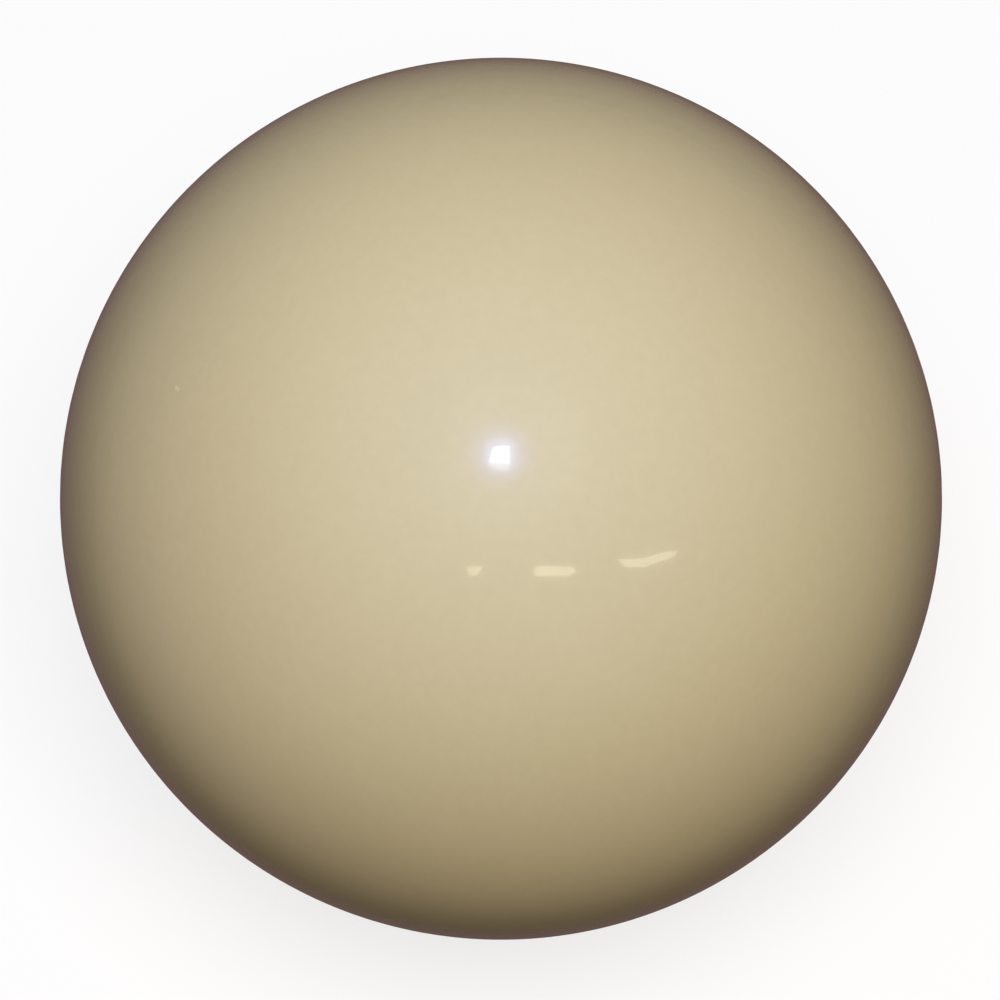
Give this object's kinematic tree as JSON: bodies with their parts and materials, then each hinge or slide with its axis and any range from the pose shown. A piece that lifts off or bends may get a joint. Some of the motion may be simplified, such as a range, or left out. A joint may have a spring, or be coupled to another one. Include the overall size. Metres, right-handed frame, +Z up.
{
  "type": "cue ball",
  "caption": "Polished cream cue ball for a billiard table: a cast resin shell round a dense core held central by a pin.",
  "frame": {"origin": "centre of the ball", "axes": "+Z up, +Y away from the viewer along the axis of the hidden core pin, whose flush end lies at the back"},
  "size_m": [0.0572, 0.0572, 0.0572],
  "materials": {
    "ivory_resin": "polished",
    "core_compound": "matte"
  },
  "bodies": {
    "root": {"outer_shell": "ivory_resin", "core_pin": "ivory_resin", "inner_core": "core_compound"}
  },
  "joints": []
}
